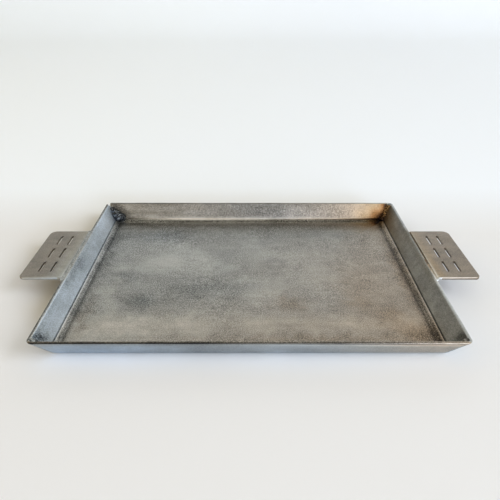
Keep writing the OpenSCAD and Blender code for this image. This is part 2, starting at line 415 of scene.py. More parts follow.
def drawnIn(loop, count):
    # level loops inside the given one, evenly spaced from the middle outwards
    scale = np.linspace(0, 1, count + 1)[1:-1, None, None]
    flat = np.array([1, 1, 0])
    return loop * (scale * flat + 1 - flat)


def traySurface():
    # the section carried round the plan, and the floor's loops drawn in to its middle
    offset, level = traySection().T
    outside = np.arange(len(level)) > np.argmax(level - 1e-6 * np.arange(len(level)))
    radii = np.where(outside, tray["cornerOutside"], tray["cornerInside"])
    plan = roundedLoops(flatHalf + offset[:, None], radii, (tray["longCount"], tray["shortCount"]))
    wall = raised(plan, level)
    upper = drawnIn(wall[0], tray["floorLoops"])
    under = drawnIn(wall[-1], tray["underLoops"])[::-1]
    rows = np.concatenate([upper, wall, under])
    side = np.concatenate([np.zeros(len(upper)), outside, np.ones(len(under))])[:, None]

    # the two long walls bow in a little between their corners, most at the rim
    x, y, z = rows.transpose(2, 0, 1).copy()
    rise = smooth(z, sheet, rimHeight)
    a, b = x / rimHalf[0], y / rimHalf[1]
    rows[..., 1] -= np.sign(y) * tray["wallBow"] * rise * (1 - a ** 2) * np.abs(b) ** tray["bowPower"]
    # the hammered and ground floor waves, and the rim is a little uneven except at the handles
    edge = np.minimum(flatHalf[0] - np.abs(x), flatHalf[1] - np.abs(y))
    wave = ripples(x + 0.4 * y, tray["floorLengths"], 3) + ripples(y - 0.3 * x, tray["crossLengths"], 4)
    rows[..., 2] += (1 - side) * tray["floorWave"] * wave * smooth(edge, 0, tray["floorStill"])
    far, close = tray["handleInside"]
    atHandle = smooth(np.abs(x), rimHalf[0] - far, rimHalf[0] - close)
    atHandle = atHandle * alongHandle(y, *tray["handleBeside"])
    worn = tray["rimWave"] * (1 + ripples(x + 1.7 * y, tray["rimLengths"], 5))
    rows[..., 2] -= rise ** 3 * (worn * (1 - atHandle) + tray["rimLow"])
    # one corner stands open at the rim: the sheet falls away in a V across the diagonal
    signs = np.array(corners[notchedCorner])
    fromCorner = rows[..., :2] * signs - rimHalf
    across = np.abs(fromCorner[..., 0] - fromCorner[..., 1]) / math.sqrt(2)
    limit = rimHeight - tray["notchDepth"] * np.clip(1 - across / tray["notchHalf"], 0, 1)
    atCorner = (rise > 0.5) & (fromCorner.min(axis=-1) > -2 * rimHeight)
    over = np.maximum(rows[..., 2] - limit, 0) * atCorner
    rows[..., 2] -= over
    rows[..., :2] -= np.sign(rows[..., :2]) * (over / lean)[..., None]
    return closedStack(rows)


# Soft marks on the floor: middle, reach along x and y, then the shift of tone and cast
floorStains = [
    (-114, 90, 34, 17, -0.10, -0.10),  # cold clouds across the back
    (8, 96, 40, 15, -0.04, -0.03),
    (115, 98, 40, 18, -0.01, -0.08),
    (-98, 27, 36, 24, 0.08, 0.02),  # pale wiped patches
    (62, 24, 36, 28, 0.07, 0.02),
    (-33, 24, 10, 26, -0.03, -0.02),
    (-152, -25, 5, 32, 0.06, 0.03),
    (-144, -25, 4, 30, -0.05, 0.0),
    (-41, -30, 46, 15, -0.10, -0.06),  # dark zone in front of them, with two blots
    (-114, -55, 15, 13, -0.11, -0.08),
    (-140, -6, 16, 8, -0.07, -0.04),
    (43, -60, 20, 12, -0.10, 0.08),  # brown smudges on the right half
    (34, -37, 22, 3, 0.05, 0.02),
    (118, -30, 22, 50, -0.06, 0.07),
    (142, -79, 13, 12, -0.10, 0.07),
    (116, -60, 14, 12, -0.05, 0.05),
    (147, 78, 7, 5, -0.10, 0.0),
    (158, -98, 20, 16, 0.03, 0.05),  # thin brown oxide at the right
    (150, 0, 30, 110, 0.0, 0.06),
    (174, -112, 22, 14, -0.13, 0.10),
    (-78, -97, 115, 22, 0.11, 0.05),  # pale band at the front
    (80, -98, 90, 15, 0.06, 0.04),
    (-150, -100, 36, 26, 0.10, 0.03),
    (-140, 116, 26, 5, -0.09, 0.0),  # scale along the back
    (-48, 119, 40, 4, -0.06, 0.0),
    (48, 117, 36, 5, -0.06, 0.0),
    (136, 113, 30, 7, -0.08, 0.02),
]
# and on the bends and walls: middle, reach along x, y and z, and the same shifts
wallStains = [
    ((178, 10, 3), (8, 70, 6), -0.13, 0.12),  # painted shade along the feet of the walls, browned with scale in places
    ((70, -118, 3), (110, 6, 4), -0.10, 0.07),
    ((0, 126, 3), (190, 7, 5), -0.03, 0.03),
    ((-174, 30, 3), (6, 40, 4), -0.22, 0.0),
    ((-176, 85, 3), (7, 24, 4), -0.10, 0.0),
    ((-170, -75, 3), (6, 45, 4), -0.12, 0.06),
    ((-155, 128, 3), (16, 5, 5), -0.15, 0.02),  # smoke and painted corner shade by the back left weld
    ((-182, 142, 17), (8, 6, 9), -0.26, 0.02),
    ((-170, 138, 8), (9, 6, 6), -0.22, 0.02),
    ((178, 138, 10), (9, 6, 6), -0.20, 0.06),  # by the back right one
    ((188, 141, 17), (6, 6, 8), -0.16, 0.04),
    ((-195, -136, 22), (5, 5, 5), -0.40, -0.12),  # and by the two front ones
    ((-191, -133, 17), (6, 6, 5), -0.42, 0.0),
    ((-189, -124, 12), (5, 5, 4), -0.14, 0.0),
    ((194, -136, 20), (7, 8, 6), -0.26, 0.02),
    ((-194, -4, 19), (10, 17, 8), -0.19, -0.02),  # smudges on the left wall
    ((-194, -31, 20), (8, 7, 5), -0.22, -0.02),
    ((-195, -48, 21), (8, 6, 5), -0.20, -0.02),
    ((191, 80, 14), (9, 40, 12), 0.05, 0.03),  # and on the right wall
    ((192, 20, 16), (9, 9, 9), 0.05, -0.03),
    ((190, -40, 12), (9, 14, 9), -0.05, 0.0),
]
floorDepth = 9  # reach along z of the marks on the floor
trayStains = wallStains + [((x, y, sheet), (across, along, floorDepth), *shifts)
                           for x, y, across, along, *shifts in floorStains]
# how far the marks' outlines wander, and the wave lengths of that along x and y
stainWarp = {"reach": 6.0, "x": (47, 23, 13), "y": (41, 21, 12)}
# tone, cast and grit of each inner wall, of the outside and of the floor; tone and cast also paint
# light and shade: the left wall, facing the window light, is painted paler and colder, the right wall
# darker, and the outside paler and colder for its reflection of the pale floor
trayFaces = {"left": (0.77, 0.21, 1.2), "right": (0.53, 0.44, 0.4), "front": (0.5, 0.5, 1.0),
             "back": (0.425, 0.59, 0.7), "outside": (0.71, 0.14, 0.5), "floor": (0.55, 0.525, 1.0)}
# shift of the floor's tone and cast to the right and to the back, and more grit at the back
floorDrift = {"tone": (0.01, -0.02), "cast": (0.085, -0.045), "grit": 0.4, "gritSpan": (-20, 110)}
# drifts on the walls: the face, the mark, its axis, where it starts and ends, and its shift there;
# the back wall's paler ends are painted light, the front outside's drifts paint its reflection of
# the floor, and the front foot's darker, colder drift is painted shade
faceDrifts = [
    ("back", "tone", 0, 90, 200, 0.28), ("back", "tone", 0, 0, -130, 0.13),
    ("back", "cast", 0, 20, 150, 0.17),
    ("left", "tone", 1, 10, 110, 0.1), ("left", "tone", 1, -10, -70, 0.06),
    ("frontOutside", "tone", 0, -190, 20, -0.18), ("frontOutside", "cast", 0, -150, 0, 0.12),
    ("frontOutside", "cast", 0, 30, 180, 0.34),
    ("frontFoot", "tone", 0, 80, -150, -0.12), ("frontFoot", "cast", 0, 20, 120, -0.12),
]
# the rim of each side, as one value or at four places from its front or left end: tone and cast of
# its top, shift of tone at a handle, lines along both edges, and the wall within it and under it.
# The rim's top is ground, and its tones also paint its reflections, which differ from side to side;
# the lines along its edges and under the front rim are painted highlights and painted shade
alongSide = (0.0, 0.3, 0.8, 1.0)
plainRim = {"handle": 0.0, "inner": 0.0, "outer": 0.0, "within": 0.0, "under": 0.0}
trayRims = {
    "left": dict(plainRim, tones=(0.5, 0.48, 0.4, 0.34), casts=(0.46, 0.38, 0.42, 0.52), handle=0.18,
                 inner=(0.4, 0.35, 0.15, 0.1), outer=(-0.2, -0.2, -0.15, -0.15),
                 within=(-0.16, -0.14, -0.05, 0.0)),
    "right": dict(plainRim, tones=(0.64, 0.62, 0.66, 0.72), casts=(0.42, 0.44, 0.44, 0.44), handle=-0.22,
                  inner=(0.0, 0.0, -0.1, -0.15), outer=(0.1, 0.25, 0.0, 0.0), within=-0.1),
    "front": dict(plainRim, tones=(0.5, 0.44, 0.5, 0.66), casts=(0.62, 0.62, 0.66, 0.7), inner=0.05,
                  outer=(-0.42, -0.46, -0.25, -0.05), under=(-0.05, -0.05, 0.3, 0.3)),
    "back": dict(plainRim, tones=(0.36, 0.4, 0.56, 0.8), casts=0.5, inner=(-0.08, -0.08, 0.0, 0.0),
                 outer=(0.0, 0.0, 0.0, 0.1)),
}
# lines along the bend at a wall's foot, all painted light and shade: shade in the line pressed into
# the upper crease, light and shade on the wall above it, a highlight on the edge under it, light and
# shade on the bend's face, and mostly shade at its foot
trayCreases = {
    "left": dict(drop=0.0, line=-0.6, above=(0.04, 0.04, 0.04, 0.0), edge=(0.4, 0.32, 0.12, 0.1),
                 face=(-0.26, -0.18, 0.02, 0.06), foot=(-0.3, -0.28, -0.22, -0.2)),
    "right": dict(drop=0.0, line=-0.6, above=(0.04, 0.04, 0.04, 0.0), edge=(0.36, 0.3, 0.12, 0.1),
                  face=(-0.36, -0.3, -0.02, 0.08), foot=(-0.28, -0.28, -0.28, -0.2)),
    "front": dict(drop=0.0, line=-0.4, above=0.1, edge=0.1, face=0.0, foot=-0.2),
    "back": dict(drop=1.3, line=(-0.05, 0.1, -0.5, -0.5), above=(-0.1, 0.6, 0.3, -0.6),
                 edge=(0.0, -0.05, 0.2, 0.0), face=(0.05, -0.24, -0.34, -0.3), foot=(0.05, 0.1, 0.1, 0.05)),
}
# middle of each line in the section and its reach; those along the bend also move down with the drop
rimPlaces = {"inner": (rimIn - 0.3 * wallWay, 0.8), "outer": (rimOut - (1.0, 0.2), 1.3),
             "within": (rimIn - 3.4 * wallWay, 1.8), "under": (rimOut - 5.0 * wallWay, 1.8)}
creasePlaces = {"line": (creaseHigh, 0.6, bendWay), "above": (creaseHigh + 2.6 * wallWay, 1.7, 2.2 * wallWay),
                "edge": (creaseHigh - 1.4 * bendWay, 0.6, bendWay),
                "face": (creaseHigh - 3.1 * bendWay, 2.1, bendWay),
                "foot": (creaseLow - (0.8, 0), 2.2, 0 * bendWay)}
# each corner weld's heat: its peak and reach, how far from the corner line it stays full, the share
# that the short wall and the outside take, and the darkening round it inside: smoke and painted
# shade in the corner
coldWeld = {"peak": 0.0, "reach": 1.0, "full": 3.0, "shortShare": 1.0, "outShare": 0.5, "smokeAndShadeReach": 6.0}
cornerHeat = {"front_left": dict(coldWeld, smokeAndShade=-0.12), "front_right": dict(coldWeld, smokeAndShade=-0.14),
              "back_left": dict(coldWeld, smokeAndShade=-0.3, shortShare=0.1),
              "back_right": dict(coldWeld, smokeAndShade=-0.12, peak=0.86, reach=16, full=4, shortShare=0.45)}
rootHeat = {-1: (0.1, 4), 1: (0.2, 5)}  # peak and reach of the heat along the left and right handle


def alongValue(along, values):
    # one value for a whole side, or values between the four places along it
    return np.interp(along, alongSide, np.broadcast_to(values, len(alongSide)))


def trayMarks(points):
    # each face's tone, cast and grit, then drifts and stains over it, lines along its bends and rim, and
    # last the heat of the welds; the faces' tones, several drifts, the lines and the corners' darkening
    # also paint light, shade and reflection
    x, y, z = points.T
    over = {"left": -x - flatHalf[0], "right": x - flatHalf[0],
            "front": -y - flatHalf[1], "back": y - flatHalf[1]}
    offset = np.max(list(over.values()), axis=0)
    overShort = np.maximum(over["left"], over["right"])
    overLong = np.maximum(over["front"], over["back"])
    # the outside lies beyond the middle of the sheet; its corners are round in plan
    middle = (footIn[0] + footOut[0]) / 2 + (z - sheet / 2) / lean
    turn = footOut[0] + z / lean - tray["cornerOutside"]
    rounded = turn + np.hypot(np.clip(overShort - turn, 0, None), np.clip(overLong - turn, 0, None))
    outside = (z < 0.7 * sheet) | (np.maximum(offset, rounded) > middle)

    tone, cast, grit = (np.full(len(points), value) for value in trayFaces["floor"])
    for values, (toRight, toBack) in ((tone, floorDrift["tone"]), (cast, floorDrift["cast"])):
        values += toRight * x / flatHalf[0] + toBack * y / flatHalf[1]
    grit += floorDrift["grit"] * smooth(y, *floorDrift["gritSpan"])
    onWall = smooth(offset, creaseHigh[0] - tray["crease"], creaseHigh[0])
    for side, reach in over.items():
        share = onWall * (reach == offset)
        for values, value in zip((tone, cast, grit), trayFaces[side]):
            values += (value - values) * share
    tone[outside], cast[outside], grit[outside] = trayFaces["outside"]

    faces = {side: (reach == offset) * onWall * ~outside for side, reach in over.items()}
    frontOutside = outside * smooth(offset, 0, 4) * smooth(over["front"] - overShort, -2, 6)
    faces["frontOutside"] = frontOutside
    faces["frontFoot"] = frontOutside * smooth(z, 6.5, 1)
    marks = {"tone": tone, "cast": cast}
    for face, mark, axis, start, end, shift in faceDrifts:
        marks[mark] += faces[face] * shift * smooth(points[:, axis], start, end)
    # the front wall's outside: a pale place and a greyer band under the rim, painted for its reflection
    # of the floor, and a colder foot, painted shade where it mirrors the shaded floor
    band = frontOutside * bell(z - 22.5, 2.2)
    tone += frontOutside * (0.08 + 0.07 * bell(x - 45, 30)) - 0.1 * band
    cast += 0.16 * band - 0.08 * faces["frontFoot"]
    wander = [ripples(y + 0.5 * x, stainWarp["x"], 21), ripples(x - 0.4 * y, stainWarp["y"], 22), 0 * z]
    strayed = points + stainWarp["reach"] * np.stack(wander, axis=1)
    for centre, reach, toneShift, castShift in trayStains:
        amount = bell(norm((strayed - centre) / reach, axis=1), 1) * ~outside
        tone += toneShift * amount
        cast += castShift * amount

    section = np.stack([offset, z], axis=1)
    rim = smooth(z, rimHeight - 1.3, rimHeight - 0.6) * smooth(offset, rimIn[0] - 0.5, rimIn[0])
    atHandle = alongHandle(y, 4, -4)
    # lines along the rim: painted highlights and painted shade on its dulled edges and under it
    lines = {line: bell(norm(section - place, axis=1), reach)
             for line, (place, reach) in rimPlaces.items()}
    lines["inner"] *= 1 - atHandle
    lines["within"] *= ~outside
    lines["under"] *= outside
    for side, look in trayRims.items():
        here = over[side] == offset
        along = (y / rimHalf[1] if side in ("left", "right") else x / rimHalf[0]) / 2 + 0.5
        crease = trayCreases[side]
        # painted light and shade along the bend at the wall's foot
        for line, (place, reach, way) in creasePlaces.items():
            away = norm(section - place + crease["drop"] * way, axis=1)
            tone += here * ~outside * alongValue(along, crease[line]) * bell(away, reach)
        rimTone = alongValue(along, look["tones"]) + look["handle"] * atHandle
        tone += here * (rimTone - tone) * rim
        cast += here * (alongValue(along, look["casts"]) - cast) * rim
        for line, amount in lines.items():
            tone += here * alongValue(along, look[line]) * amount

    temper = np.zeros(len(points))
    shortWall = (overShort == offset) & ~outside
    for corner, heat in cornerHeat.items():
        away = np.maximum(segmentDistance(strayed, *cornerLine(corner)) - heat["full"], 0)
        taken = np.where(shortWall, heat["shortShare"], 1) * (1 - rim)
        hot = heat["peak"] * np.exp(-away / heat["reach"]) * np.where(outside, heat["outShare"], 1)
        temper = np.maximum(temper, hot * taken)
        # smoke and painted shade in the inner corner round each weld
        tone += heat["smokeAndShade"] * np.exp(-away / heat["smokeAndShadeReach"]) * ~outside * taken
    for side, (peak, reach) in rootHeat.items():
        line = [(side * rimHalf[0], end[1], rimHeight) for end in (lowPlate, highPlate)]
        temper = np.maximum(temper, peak * np.exp(-segmentDistance(points, *line) / reach))
    return dict(marks, temper=temper, grit=grit)


makePiece("traySheet", [traySurface()], "tray", "tray_steel", traySteel, trayMarks)


# Corner welds: a bead inside and a ground skin outside each corner

# foot holds the shifts of tone and temper at the bead's foot, and bare its tone where it is ground
plainBead = {"lump": 0.3, "swell": 0.0, "shift": 0.0, "temper": 0.0, "grit": 1.0, "foot": (0.0, 0.0)}
beads = {
    "front_left": dict(plainBead, radius=4.6, lump=0.35, tone=0.18, cast=0.3, bare=0.56),
    "front_right": dict(plainBead, radius=4.4, tone=0.2, cast=0.6, bare=0.26),
    "back_left": dict(plainBead, radius=5.8, lump=0.8, swell=5.6, shift=5.0,
                      tone=0.09, cast=0.36, bare=0.2),
    "back_right": dict(plainBead, radius=4.6, lump=0.8, swell=1.2, shift=-1.0,
                       tone=0.32, cast=0.5, temper=0.5, bare=0.36, grit=2.0, foot=(-0.14, 0.2)),
}
beadShape = {
    "sink": 1.0, "bite": 1.2, "rippleLength": 2.8, "rippleHeight": 0.6, "rippleCurve": 0.9,
    "lumpLengths": (17, 9.5, 6.1), "lumpTwist": 3, "seed": 11, "swellShare": 0.7,
    "intoFloor": 0.5, "underRim": 0.2, "rows": 90, "arcCount": 27,
    "bareDepths": (1.4, 0.5), "footLevels": (6, 16),
}
outerSkin = {
    "proud": 0.04, "bite": 0.3, "lip": 2.5, "thick": 1.0, "bottom": 1.6, "topGap": 1.6, "fade": 3.0,
    "arcShare": 0.7, "rows": 50, "arcCount": 21,
    "tone": 0.66, "cast": 0.2, "temper": 0.03, "grit": 0.5,
}


def beadSurface(corner):
    # a round rod of rippled radius along the corner line, of which the arc in front of the walls
    # is kept; it swells and shifts along the end wall towards its foot, and its ends are round
    bead = beads[corner]
    foot, top = cornerLine(corner)
    length = norm(top - foot)
    up = (top - foot) / length
    signs = np.array(corners[corner])
    across = np.array([-signs[0], signs[1], 0]) / math.sqrt(2)
    out = np.cross(up, across)
    out *= np.sign(out[:2] @ signs)
    end = length - (tray["notchDepth"] / up[2] if corner == notchedCorner else 0)
    s = np.linspace(0, end, beadShape["rows"])[:, None]
    u = np.linspace(-1, 1, beadShape["arcCount"])[None]
    phase = s / beadShape["rippleLength"] + beadShape["rippleCurve"] * u ** 2
    lump = ripples(s + beadShape["lumpTwist"] * u, beadShape["lumpLengths"],
                   beadShape["seed"] + int(bead["radius"] * 10))
    nearFoot = 1 - smooth(s, 0, beadShape["swellShare"] * length)
    body = bead["radius"] + bead["swell"] * nearFoot
    body = body + beadShape["rippleHeight"] * crests(phase) + bead["lump"] * lump
    gap = np.minimum(s + bead["radius"] / 2, s[-1] - s if end < length else np.inf) / bead["radius"]
    body = body * roundEnd(gap)
    wallHalf = math.pi / 2 - math.acos(cosine ** 2) / 2
    bite = (beadShape["bite"] - beadShape["sink"] * math.sin(wallHalf)) / bead["radius"]
    angle = u * (wallHalf + math.asin(bite))
    sideways = body * np.sin(angle) + bead["shift"] * nearFoot
    rows = (foot + s[..., None] * up + (beadShape["sink"] - body * np.cos(angle))[..., None] * out
            + sideways[..., None] * across)
    rows[..., 2] = np.clip(rows[..., 2], sheet - beadShape["intoFloor"],
                           rimHeight - beadShape["underRim"])
    # it ends in the middle of the sheet: an arc round the bend's centre, then the leaning wall, and
    # round the corner in plan
    middleBend = tray["bend"] + sheet / 2
    rise = np.clip(rows[..., 2] - sheet / 2, 0, None)
    arc = np.sqrt(np.clip(middleBend ** 2 - np.clip(middleBend - rise, 0, None) ** 2, 0, None))
    wall = middleBend * math.tan(tray["wallAngle"] / 2) + rise / lean
    turn = tray["cornerOutside"]
    centre = flatHalf + np.where(rise < middleBend * (1 - cosine), arc, wall)[..., None] - turn
    beyond = rows[..., :2] * signs - centre
    reach = norm(np.clip(beyond, 0, None), axis=-1, keepdims=True)
    beyond = np.where(beyond > 0, beyond * np.minimum(1, turn / np.maximum(reach, turn / 2)), beyond)
    rows[..., :2] = (centre + beyond) * signs
    return closedStack(rows)


def skinSurface(corner):
    # level bands round the outer corner that lie just proud of it and sink into the walls at
    # their ends, at the foot and under the rim
    signs = np.array(corners[corner])
    top = rimHeight - outerSkin["topGap"] - (tray["notchDepth"] if corner == notchedCorner else 0)
    level = np.linspace(outerSkin["bottom"], top, outerSkin["rows"])
    bendTop = outerBend * (1 - cosine)
    bent = outerBend * np.sin(np.arccos(np.clip(1 - level / outerBend, -1, 1)))
    offset = np.where(level < bendTop, bent, footOut[0] + level / lean)
    u = np.linspace(-1, 1, outerSkin["arcCount"])
    angle = np.pi / 4 * (1 + np.clip(u / outerSkin["arcShare"], -1, 1))
    lip = np.clip(np.abs(u) - outerSkin["arcShare"], 0, None) / (1 - outerSkin["arcShare"])
    ends = smooth(level, level[0], level[0] + outerSkin["fade"]) * smooth(level, top, top - outerSkin["fade"])
    cover = ends[:, None] * (1 - smooth(lip, 0, 1))[None]
    height = outerSkin["proud"] * cover - outerSkin["bite"] * (1 - cover)
    slide = np.stack([np.where(u > 0, -lip, 0), np.where(u < 0, -lip, 0)], axis=-1) * outerSkin["lip"]
    bands = []
    for depth in (height, height - outerSkin["thick"]):
        plan = unit(angle) * (tray["cornerOutside"] + depth)[..., None] + slide
        bands.append((flatHalf + offset[:, None] - tray["cornerOutside"])[:, None] + plan)
    plan = np.concatenate([bands[0], bands[1][:, ::-1]], axis=1) * signs
    return closedStack(raised(plan, level))


def skinMarks(points):
    return {mark: np.full(len(points), outerSkin[mark]) for mark in ("tone", "cast", "temper", "grit")}


def beadMarks(points, bead):
    # dark from heat, darker at the foot, and ground bare at the rim
    bare = smooth(points[:, 2], *(rimHeight - depth for depth in beadShape["bareDepths"]))
    atFoot = 1 - smooth(points[:, 2], *beadShape["footLevels"])
    tone = bead["tone"] + bead["foot"][0] * atFoot
    temper = bead["temper"] + bead["foot"][1] * atFoot
    return {"tone": tone + (bead["bare"] - tone) * bare, "cast": np.full(len(points), bead["cast"]),
            "temper": temper * (1 - bare), "grit": np.full(len(points), bead["grit"])}


for corner, bead in beads.items():
    makePiece("cornerBead_" + corner, [beadSurface(corner)], "inner_weld_" + corner, "bead_weld",
              beadWeld, beadMarks, bead)
    makePiece("cornerSkin_" + corner, [skinSurface(corner)], "outer_weld_" + corner, "ground_weld",
              groundWeld, skinMarks)


# Handle plates: a cut outline and its slots, with dulled edges

plate = {
    "root": lowPlate[0], "tip": highPlate[0], "front": lowPlate[1], "back": highPlate[1],
    "bottom": lowPlate[2], "top": highPlate[2], "frontCorner": 5.0, "backCorner": 8.0, "rootCorner": 1.0,
    "cornerSteps": 13, "edge": 0.45, "edgeSteps": 4,
    "slotWidth": 2.6, "slotCount": 3, "slotBridge": 8.0, "slotMargin": 12.0,
    "slotRows": (217.0, 230.0), "slotSteps": 13, "gridSpacing": 2.0, "gridMargin": 1.2,
    "rootHighlightReach": 12.0, "glintReach": 4.0, "edgeFade": 0.6, "heatAt": 5.0, "heatReach": 6.0,
}
# tone and cast of a plate, each with its shift in the painted pale highlight along the root and in the
# painted glint at the root's front end; the front edge's painted shade and highlight from its bottom
# to its top; the pale band's share at the back; and the heat colour at the back with what it gains
# to the front
plateLooks = {
    "right": {"tone": (0.49, 0.07, 0.4), "cast": (0.7, -0.04, -0.25), "edge": (-0.5, -0.12, 0.14, 0.3),
              "edgeCast": 0.0, "wipedBack": 1.0, "heat": (0.12, 0.12)},
    "left": {"tone": (0.47, 0.2, 0.2), "cast": (0.62, -0.28, 0.0), "edge": (-0.5, 0.08, 0.28, 0.36),
             "edgeCast": -0.14, "wipedBack": 0.4, "heat": (0.12, 0.0)},
}


def plateOutline():
    # a rectangle whose two outer corners are round
    root, tip, front, back = (plate[key] for key in ("root", "tip", "front", "back"))
    middle = (front + back) / 2
    path = filletPath(
        [(root, middle), (root, front), (tip, front), (tip, back), (root, back), (root, middle)],
        [plate[key] for key in ("rootCorner", "frontCorner", "backCorner", "rootCorner")],
        plate["cornerSteps"])
    return path[:-1]


def slotOutlines():
    # straight slots with half round ends, in two rows
    width = plate["back"] - plate["front"]
    count, bridge = plate["slotCount"], plate["slotBridge"]
    length = (width - 2 * plate["slotMargin"] - (count - 1) * bridge) / count
    angle = np.linspace(0, np.pi, plate["slotSteps"])
    arc = plate["slotWidth"] / 2 * unit(angle)
    straight = np.array([0, (length - plate["slotWidth"]) / 2])
    loop = np.concatenate([arc + straight, -arc - straight])
    middles = (plate["front"] + plate["back"]) / 2 + (np.arange(count) - (count - 1) / 2) * (length + bridge)
    return [loop + (x, y) for x in plate["slotRows"] for y in middles]


def inset(loop, distance):
    # moves a loop that runs anticlockwise inwards along the mean of its neighbours' normals
    ahead = np.roll(loop, -1, axis=0) - loop
    normal = np.stack([-ahead[:, 1], ahead[:, 0]], axis=1)
    normal /= norm(normal, axis=1, keepdims=True)
    mean = normal + np.roll(normal, 1, axis=0)
    mean /= np.maximum(np.sum(mean * normal, axis=1, keepdims=True), 0.3)
    return loop + mean * distance


def insideLoop(points, loop):
    # a point is inside where a ray along x crosses the loop an odd number of times
    following = np.roll(loop, -1, axis=0)
    y = points[:, 1:2]
    spans = (loop[:, 1] > y) != (following[:, 1] > y)
    rise = np.where(following[:, 1] == loop[:, 1], 1e-9, following[:, 1] - loop[:, 1])
    cross = loop[:, 0] + (y - loop[:, 1]) / rise * (following[:, 0] - loop[:, 0])
    return np.sum(spans & (points[:, :1] < cross), axis=1) % 2 == 1


def innerGrid(outline, holes, spacing, margin):
    # points of a square grid inside the outline, clear of its edge and of the holes
    spans = zip(outline.min(axis=0), outline.max(axis=0))
    axes = [np.arange(first + spacing / 2, last, spacing) for first, last in spans]
    grid = np.stack(np.meshgrid(*axes), axis=-1).reshape(-1, 2)
    keep = insideLoop(grid, inset(outline, margin))
    for hole in holes:
        keep &= ~insideLoop(grid, inset(hole, -margin))
    return grid[keep]


def slab(outline, holes, inner, bottom, top, edge, steps):
    # each outline carries a section of two quarter rounds and a straight side; the flats above
    # and below are filled with triangles between the outline, its holes and the inner points
    angle = np.linspace(0, np.pi / 2, steps)
    depth = edge * (1 - np.sin(angle))
    lift = edge * (1 - np.cos(angle))
    depth = np.concatenate([depth, depth[::-1]])
    level = np.concatenate([top - lift, (bottom + lift)[::-1]])
    points, faces, upper, under, edges, count, placed = [], [], [], [], [], 0, 0
    for number, loop in enumerate([outline] + holes):
        size = len(loop)
        rows = np.stack([np.column_stack([inset(loop, d if number == 0 else -d), np.full(size, z)])
                         for d, z in zip(depth, level)])
        quads = stackFaces(len(level), size, count)
        faces += quads if number == 0 else [quad[::-1] for quad in quads]
        upper.append(count + np.arange(size))
        under.append(count + (len(level) - 1) * size + np.arange(size))
        edges += [(placed + i, placed + (i + 1) % size) for i in range(size)]
        points.append(rows.reshape(-1, 3))
        count += rows.shape[0] * size
        placed += size
    upper.append(count + np.arange(len(inner)))
    under.append(count + len(inner) + np.arange(len(inner)))
    points += [np.column_stack([inner, np.full(len(inner), z)]) for z in (top, bottom)]
    points, upper, under = (np.concatenate(part) for part in (points, upper, under))
    filled = delaunay_2d_cdt([tuple(p) for p in points[upper, :2]], edges, [], 1, 1e-6)
    places = np.array([tuple(p) for p in filled[0]])
    triangles = np.array(filled[2])
    middles = places[triangles].mean(axis=1)
    keep = ~np.any([insideLoop(middles, hole) for hole in holes], axis=0) if holes else slice(None)
    cap = np.array([origin[0] for origin in filled[3]])[triangles[keep]]
    return points, faces + upper[cap][:, ::-1].tolist() + under[cap].tolist()


def mirrored(shell):
    points, faces = shell
    return points * (-1, 1, 1), faces


def plateMarks(points, look):
    # a painted pale highlight along the root, with a band of heat colour beside it and a painted glint at
    # the root's front end; the front edge has a painted highlight above and painted shade below
    y, z = points[:, 1], points[:, 2]
    away = np.abs(points[:, 0]) - plate["root"]
    front, edge = plate["front"], plate["edge"]
    frontward = smooth(y, plate["back"], front)
    # a painted pale highlight along the root
    wiped = bell(away, plate["rootHighlightReach"])
    wiped = wiped * (look["wipedBack"] + (1 - look["wipedBack"]) * frontward)
    # a painted glint at the root's front end
    paintedGlint = bell(np.hypot(away, y - front), plate["glintReach"])
    paintedGlint = paintedGlint * smooth(y, front + edge, front + plate["gridMargin"])
    # the front edge: painted shade at its bottom, a painted highlight at its top
    atFront = 1 - smooth(y, front, front + plate["edgeFade"])
    levels = (plate["bottom"], plate["bottom"] + edge, plate["top"] - edge, plate["top"])
    shares = np.stack([np.ones(len(points)), wiped, paintedGlint])
    heat = (look["heat"][0] + look["heat"][1] * frontward) * bell(away - plate["heatAt"], plate["heatReach"])
    return {"tone": look["tone"] @ shares + np.interp(z, levels, look["edge"]) * atFront,
            "cast": look["cast"] @ shares + look["edgeCast"] * atFront, "temper": heat * (1 - atFront)}


plateGrid = innerGrid(plateOutline(), slotOutlines(), plate["gridSpacing"], plate["gridMargin"])
plateShell = slab(plateOutline(), slotOutlines(), plateGrid, plate["bottom"], plate["top"],
                  plate["edge"], plate["edgeSteps"])
makePiece("rightPlate", [plateShell], "right_handle", "handle_steel", plateSteel,
          plateMarks, plateLooks["right"])
makePiece("leftPlate", [mirrored(plateShell)], "left_handle", "handle_steel", plateSteel,
          plateMarks, plateLooks["left"])


# Handle welds: metal in the gap and round its ends, and a rippled bead under the plate

root = {
    "frontTurn": 5.0, "backTurn": 1.5, "toe": 0.4, "lap": 0.6, "overRim": 2.2, "overPlate": 0.5,
    "arcSteps": 13, "edge": 0.25, "edgeSteps": 3, "lift": 0.1, "seamDepth": 1.5, "seamLength": 68.0,
    "beadRadius": 4.0, "slack": 0.25, "overlap": 0.3, "rows": 240, "arcCount": 21,
    "rippleLength": 2.6, "rippleHeight": 0.35, "rippleCurve": 0.8,
    "lump": 0.2, "lumpLengths": (29, 13, 7.7), "turnEnd": 0.3, "seamLead": 1.0,
}
seamStart = plate["back"] - root["seamLength"]
# tone, cast and temper: smoked under the plate, a painted highlight in the front turn, brown heat
# colour and painted shade in the open seam, which only the right weld has, and pale where the rest
# was dressed flush
rootLooks = {
    "right": {"under": (0.42, 0.6, 0.6), "turn": (0.95, 0.42, 0.0), "seam": (0.3, 0.7, 0.35),
              "rest": (0.56, 0.6, 0.2)},
    "left": {"under": (0.42, 0.36, 0.6), "turn": (0.64, 0.42, 0.0), "seam": (0.56, 0.36, 0.03),
             "rest": (0.56, 0.36, 0.03)},
}


